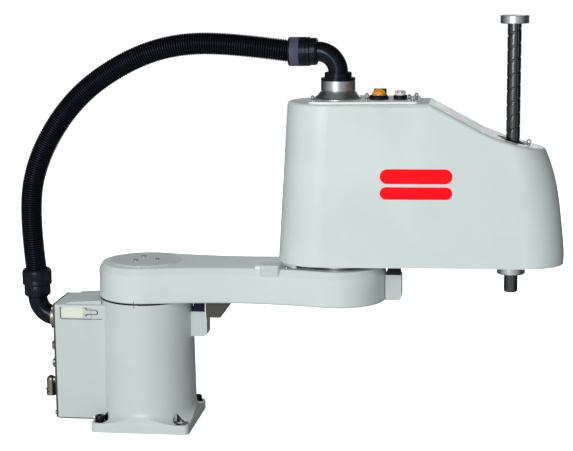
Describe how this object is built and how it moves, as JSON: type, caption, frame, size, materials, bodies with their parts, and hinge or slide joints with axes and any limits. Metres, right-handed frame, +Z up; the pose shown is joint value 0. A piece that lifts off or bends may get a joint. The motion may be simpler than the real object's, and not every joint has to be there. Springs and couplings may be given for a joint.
{
  "type": "scara robot arm",
  "caption": "Bench robot arm with parallel vertical joints: a flanged column, an inner arm, a covered outer arm, an arched conduit hose and a sliding, turning hollow tool shaft.",
  "frame": {"origin": "where the first axis meets the floor, at the centre of the base plate's underside", "axes": "+Z up along the first axis, +X along the straight arm towards the tool shaft, +Y away from the near side"},
  "size_m": [0.8218, 0.15, 0.6194],
  "materials": {
    "paint_casting": "satin cool grey-white paint on cast aluminium",
    "paint_sheet": "satin cool grey-white paint",
    "cover_shell": "satin cool grey-white moulding",
    "dark_sheet": "dark grey paint on sheet",
    "white_plate": "satin white",
    "black_screw": "black oxide",
    "steel_screw": "zinc plated",
    "nickel_fitting": "nickel plated",
    "rubber_buffer": "matt black rubber",
    "gloss_black": "glossy black",
    "coupling_black": "satin black with grip ribs",
    "hose_black": "ribbed black polyamide",
    "motor_black": "black paint on aluminium housings",
    "turned_aluminium": "turned",
    "reducer_steel": "ground steel",
    "belt_rubber": "toothed belt",
    "lamp_black": "black bezel",
    "lamp_orange": "translucent orange lens",
    "button_white": "glossy white",
    "shaft_steel": "ground and grooved steel",
    "nut_steel": "ground steel",
    "pulley_aluminium": "machined"
  },
  "bodies": {
    "base": {"base_casting": "paint_casting", "rear_box": "paint_sheet", "rear_box_cap": "paint_sheet", "side_covers": "paint_sheet", "rear_panel": "dark_sheet", "base_screws": "steel_screw", "air_fittings": "nickel_fitting", "elbow_fitting": "nickel_fitting", "power_connector": "nickel_fitting", "signal_connector": "nickel_fitting", "base_stop_bracket": "paint_sheet", "base_stop_buffer": "rubber_buffer", "lower_elbow": "gloss_black", "lower_elbow_nut": "nickel_fitting", "lower_coupling": "coupling_black", "conduit_hose": "hose_black", "j1_motor": "motor_black", "j1_reducer": "reducer_steel"},
    "inner_arm": {"inner_arm_casting": "paint_casting", "inner_arm_underside_cover": "dark_sheet", "first_axis_cap": "paint_sheet", "first_axis_cap_screws": "steel_screw", "j1_output_flange": "reducer_steel", "cable_guard": "dark_sheet", "zero_mark_block": "paint_sheet", "arm_stop_bracket": "paint_sheet", "arm_stop_screws": "black_screw", "arm_stop_buffer": "rubber_buffer", "j2_reducer": "reducer_steel"},
    "outer_arm": {"outer_arm_frame": "paint_casting", "outer_arm_cover": "cover_shell", "j2_output_flange": "reducer_steel", "j2_motor": "motor_black", "z_motor": "motor_black", "z_motor_bracket": "turned_aluminium", "z_belt": "belt_rubber", "r_motor": "motor_black", "r_motor_bracket": "turned_aluminium", "r_belt": "belt_rubber", "shaft_bracket": "turned_aluminium", "nut_bearings": "reducer_steel", "user_panel": "white_plate", "user_panel_screws": "steel_screw", "lamp_bezel": "lamp_black", "lamp_dome": "lamp_orange", "button_bezel": "lamp_black", "panel_socket": "lamp_black", "tie_eyes": "steel_screw", "conduit_hub": "turned_aluminium"},
    "conduit_swivel": {"elbow_flange": "gloss_black", "upper_elbow": "gloss_black", "upper_coupling": "coupling_black"},
    "spline_nut": {"spline_nut": "nut_steel"},
    "quill": {"tool_shaft": "shaft_steel", "upper_collar": "shaft_steel", "lower_collar": "shaft_steel"},
    "screw_nut": {"screw_nut": "nut_steel"},
    "z_motor_pulley": {"z_motor_pulley": "pulley_aluminium"},
    "r_motor_pulley": {"r_motor_pulley": "pulley_aluminium"},
    "brake_button": {"brake_release_button": "button_white"}
  },
  "joints": [
    {"name": "j1_base", "type": "hinge", "parent": "base", "child": "inner_arm", "pos_m": [0, 0, 0.2], "axis": [0, 0, 1], "range_deg": [-135, 135], "deforming": ["conduit_hose"]},
    {"name": "j2_elbow", "type": "hinge", "parent": "inner_arm", "child": "outer_arm", "pos_m": [0.295, 0, 0.255], "axis": [0, 0, 1], "range_deg": [-110, 110]},
    {"name": "conduit_turn", "type": "hinge", "parent": "outer_arm", "child": "conduit_swivel", "pos_m": [0.295, 0, 0.53], "axis": [0, 0, 1], "range_deg": [-111, 111]},
    {"name": "j4_roll", "type": "hinge", "parent": "outer_arm", "child": "spline_nut", "pos_m": [0.55, 0, 0.29], "axis": [0, 0, 1], "range_deg": [-400, 400]},
    {"name": "j3_stroke", "type": "slide", "parent": "spline_nut", "child": "quill", "axis": [0, 0, 1], "range_m": [-0.18, 0]},
    {"name": "screw_nut_turn", "type": "hinge", "parent": "outer_arm", "child": "screw_nut", "pos_m": [0.55, 0, 0.38], "axis": [0, 0, 1], "range_deg": [-20, 3260]},
    {"name": "z_motor_turn", "type": "hinge", "parent": "outer_arm", "child": "z_motor_pulley", "pos_m": [0.44, 0.031, 0.36], "axis": [0, 0, 1], "range_deg": [-40, 7600]},
    {"name": "r_motor_turn", "type": "hinge", "parent": "outer_arm", "child": "r_motor_pulley", "pos_m": [0.425, -0.025, 0.31], "axis": [0, 0, 1], "range_deg": [-940, 940]},
    {"name": "button_press", "type": "slide", "parent": "outer_arm", "child": "brake_button", "axis": [0, 0, 1], "range_m": [-0.003, 0], "stiffness_N_per_m": 500, "springref_m": 0.001}
  ],
  "couplings": [
    {"joint": "conduit_turn", "follows": "j2_elbow", "ratio": -1},
    {"joint": "screw_nut_turn", "follows": "j3_stroke", "rad_per_m": -314.16},
    {"joint": "z_motor_turn", "follows": "j3_stroke", "rad_per_m": -733.04},
    {"joint": "r_motor_turn", "follows": "j4_roll", "ratio": 2.3333}
  ]
}
